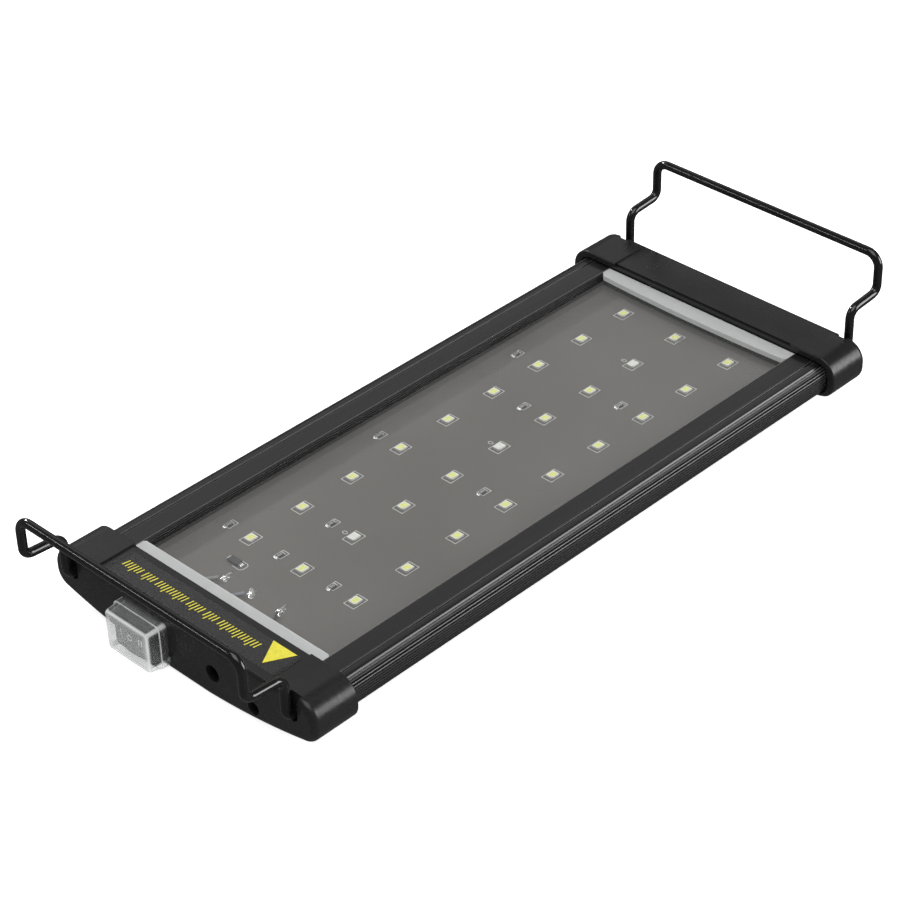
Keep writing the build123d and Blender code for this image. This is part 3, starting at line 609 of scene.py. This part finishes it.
def add_solder_bead(mesh, x, y, points, spike, turn):
    """A domed bead of solder that runs out into a few points, as on a hand-soldered pad."""
    rows = []
    for ring in range(RINGS):
        share = (ring + 1) / RINGS
        row = []
        for spoke in range(SPOKES):
            angle = 2 * math.pi * spoke / SPOKES
            lobe = max(0.0, math.cos(points * (angle - turn) / 2)) ** 2 * math.cos(angle - turn) ** 2
            reach = 1 - PINCH * spike * share + spike * share * lobe
            reach += RAGGEDNESS * math.sin(5 * angle + 3 * turn) * share
            dome = 1 - share ** BEAD_FALL
            ripple = 1 + RIPPLE * math.sin(3 * angle + 9 * share)
            row.append(mesh.verts.new((x + BEAD_HALF_X * share * reach * math.cos(angle),
                                       y + BEAD_HALF_Y * share * reach * math.sin(angle),
                                       BOARD_TOP + BEAD_HEIGHT * dome * ripple)))
        rows.append(row)
    top = mesh.verts.new((x, y, BOARD_TOP + BEAD_HEIGHT))
    for i in range(SPOKES):
        j = (i + 1) % SPOKES
        mesh.faces.new((top, rows[0][i], rows[0][j]))
        for low, high in zip(rows, rows[1:]):
            mesh.faces.new((low[i], high[i], high[j], low[j]))
    mesh.faces.new(rows[-1][::-1])


def make_solder_beads(material):
    """The three wire joints at the switch end of the board."""
    x = (SOLDER_LOW.x + SOLDER_HIGH.x) / 2
    mesh = bmesh.new()
    for y, points, spike, turn in BEADS:
        add_solder_bead(mesh, x, y, points, spike, turn)
    piece = piece_from("solder_beads", mesh, material, smooth=True)
    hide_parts("solder_joints")


# ---- rocker marks ----
MARK_DEPTH = 0.03 * MM                   # how proud a mark stands, and how deep it goes in
ROCKER_CROWN = 1.2 * MM
ROCKER_MIDDLE = (ROCKER_LOW.y + ROCKER_HIGH.y) / 2
MARK_MIDDLE = (ROCKER_LOW.z + ROCKER_HIGH.z) / 2 + 0.9 * MM
MARK_HALF_TALL = 1.15 * MM
MARK_LINE = 0.32 * MM
BAR_OFFSETS = (4.7 * MM, -3.9 * MM, -4.9 * MM)
OFF_RING_HALF = 1.0 * MM


def rocker_place(y, z, lift):
    """A point on the rocker's crowned front, lift metres proud of it."""
    half = (ROCKER_HIGH.y - ROCKER_LOW.y) / 2
    radius = (half * half + ROCKER_CROWN * ROCKER_CROWN) / (2 * ROCKER_CROWN)
    offset = y - ROCKER_MIDDLE
    sag = radius - math.sqrt(radius * radius - offset * offset)
    return ROCKER_LOW.x + sag - lift, y, z


def make_rocker_marks(material):
    """The two settings' bars and the ring for off, printed on the rocker."""
    mesh = bmesh.new()
    for offset in BAR_OFFSETS:
        bar = rectangle(ROCKER_MIDDLE + offset, MARK_MIDDLE, MARK_LINE / 2, MARK_HALF_TALL)
        add_prism(mesh, bar, -MARK_DEPTH, MARK_DEPTH, rocker_place)
    outer = oval(ROCKER_MIDDLE, MARK_MIDDLE, OFF_RING_HALF, MARK_HALF_TALL)
    inner = oval(ROCKER_MIDDLE, MARK_MIDDLE, OFF_RING_HALF - MARK_LINE, MARK_HALF_TALL - MARK_LINE)
    add_ring(mesh, outer, inner, -MARK_DEPTH, MARK_DEPTH, rocker_place)
    piece_from("rocker_marks", mesh, material, body="rocker")


# ---- caution label marks ----
LABEL_TO_TIP = 1.8 * MM                  # along X, from the label's low edge
LABEL_TO_FOOT = 7.7 * MM
LABEL_TO_TRIANGLE = 7.4 * MM             # along Y, from the label's low edge to its middle
TRIANGLE_LENGTH = 9.4 * MM
TRIANGLE_HALF = 5.2 * MM
TRIANGLE_TO_TICKS = 1.3 * MM
TICK_WIDTH = 0.42 * MM
TICK_PITCH = 1.36 * MM
TICK_LEAN = 0.55 * MM
TICK_TALL = 2.9 * MM
TICK_TALLER = 3.9 * MM
TALLER_EVERY = 4
FIRST_TALLER = 2
TICK_GROUPS = (13, 4, 5, 10, 4, 6)
GROUP_GAP = 0.9 * MM


def make_label_marks(material):
    """A plain triangle and a row of plain ticks in groups."""
    mesh = bmesh.new()
    low, high = LABEL_HIGH.z, LABEL_HIGH.z + INK
    tip_x = LABEL_LOW.x + LABEL_TO_TIP
    base_x = tip_x + TRIANGLE_LENGTH
    middle_y = LABEL_LOW.y + LABEL_TO_TRIANGLE
    add_prism(mesh, [(tip_x, middle_y), (base_x, middle_y - TRIANGLE_HALF),
                     (base_x, middle_y + TRIANGLE_HALF)], low, high)
    foot = LABEL_LOW.x + LABEL_TO_FOOT
    y = middle_y + TRIANGLE_HALF + TRIANGLE_TO_TICKS
    for group in TICK_GROUPS:
        for index in range(group):
            tall = TICK_TALLER if index % TALLER_EVERY == FIRST_TALLER else TICK_TALL
            lean = TICK_LEAN * tall / TICK_TALL
            add_prism(mesh, [(foot - tall, y + lean), (foot - tall, y + TICK_WIDTH + lean),
                             (foot, y + TICK_WIDTH), (foot, y)], low, high)
            y += TICK_PITCH
        y += GROUP_GAP
    piece_from("caution_label_marks", mesh, material)


# ---- studio ----
FLOOR_SIZE = 6.0                         # metres
FLOOR_GLOW = 0.8
WORLD_GLOW = 0.14


def floor_white():
    """Matt white paper, lit from within so that shadows on it stay faint."""
    material, tree, shader, _ = new_material("floor_white")
    cloud = grain(tree, 2.0, CLOUD_DETAIL)
    colour = blend_colours(tree, spread(tree, cloud, 0, 1), (0.90, 0.90, 0.90), (0.92, 0.92, 0.92))
    tree.links.new(colour, shader.inputs["Base Color"])
    shader.inputs["Roughness"].default_value = 0.9
    shader.inputs["Specular IOR Level"].default_value = 0.1
    shader.inputs["Emission Color"].default_value = (1, 1, 1, 1)
    shader.inputs["Emission Strength"].default_value = FLOOR_GLOW
    return material


def make_floor():
    """A plain pale floor that the light stands on, and that its gloss doesn't mirror."""
    mesh = bmesh.new()
    half = FLOOR_SIZE / 2
    mesh.faces.new([mesh.verts.new((x, y, 0)) for x, y in rectangle(0, 0, half, half)])
    floor = object_from("floor", mesh, floor_white())
    floor.visible_glossy = False


def outward(azimuth, elevation):
    """The direction from the object's middle out to an azimuth and elevation in radians."""
    return Vector((math.sin(azimuth) * math.cos(elevation),
                   -math.cos(azimuth) * math.cos(elevation),
                   math.sin(elevation)))


def softbox(name, azimuth, elevation, distance, size, power):
    """A rectangular soft light aimed at the middle of the object, in degrees, metres and watts."""
    back = outward(math.radians(azimuth), math.radians(elevation))
    data = bpy.data.lights.new(name, "AREA")
    data.shape = "RECTANGLE"
    data.size, data.size_y = size
    data.energy = power
    light = bpy.data.objects.new(name, data)
    light.location = back * distance
    light.rotation_mode = "QUATERNION"
    light.rotation_quaternion = (-back).to_track_quat("-Z", "Y")
    bpy.context.scene.collection.objects.link(light)
    return light


def shade_from(light, name):
    """Keeps a light off one piece, as a flag in the studio does."""
    shaded = bpy.data.collections.new("shaded_" + name)
    shaded.objects.link(bpy.data.objects[name])
    shaded.collection_objects[0].light_linking.link_state = "EXCLUDE"
    light.light_linking.receiver_collection = shaded


def make_studio():
    """Even surroundings, a small key from behind and soft boxes round the object."""
    world = bpy.data.worlds.new("studio")
    bpy.context.scene.world = world
    world.use_nodes = True
    background = world.node_tree.nodes["Background"]
    background.inputs["Color"].default_value = (1, 1, 1, 1)
    background.inputs["Strength"].default_value = WORLD_GLOW
    bpy.context.scene.view_settings.view_transform = "Standard"
    make_floor()
    softbox("key_back", 176, 33, distance=1.3, size=(0.12, 0.12), power=7.5)
    softbox("back_wall", 136, 36, distance=1.8, size=(1.5, 0.8), power=1.9)
    low_light = softbox("right_front", 38, 17, distance=1.4, size=(0.75, 0.72), power=15)
    shade_from(low_light, "cover_sheet")
    softbox("left_strip", -134, 33, distance=1.5, size=(0.7, 0.05), power=2.2)
    softbox("top_soft", -45, 72, distance=1.2, size=(1.0, 1.0), power=9.0)


def make_camera():
    """The camera, placed by its target, angles and distance."""
    back = outward(CAMERA_AZIMUTH, CAMERA_ELEVATION)
    data = bpy.data.cameras.new("camera")
    data.lens = CAMERA_LENS
    data.clip_end = CAMERA_REACH
    camera = bpy.data.objects.new("camera", data)
    turn = (-back).to_track_quat("-Z", "Y").to_matrix().to_4x4()
    roll = Matrix.Rotation(CAMERA_ROLL, 4, "Z")
    place = Matrix.Translation(CAMERA_TARGET + back * CAMERA_DISTANCE)
    camera.matrix_world = place @ turn @ roll
    bpy.context.scene.collection.objects.link(camera)
    bpy.context.scene.camera = camera


make_camera()
make_studio()
slots = make_materials()
dress_frame(slots)
silk = printing_ink("silk_print", (0.72, 0.72, 0.71))
make_led_outlines(silk)
make_chip_outlines(silk)
make_diode_outline(silk)
make_solder_beads(slots["solder"])
make_rocker_marks(printing_ink("switch_print", (0.90, 0.90, 0.90)))
make_label_marks(printing_ink("label_yellow", (0.80, 0.72, 0.05)))
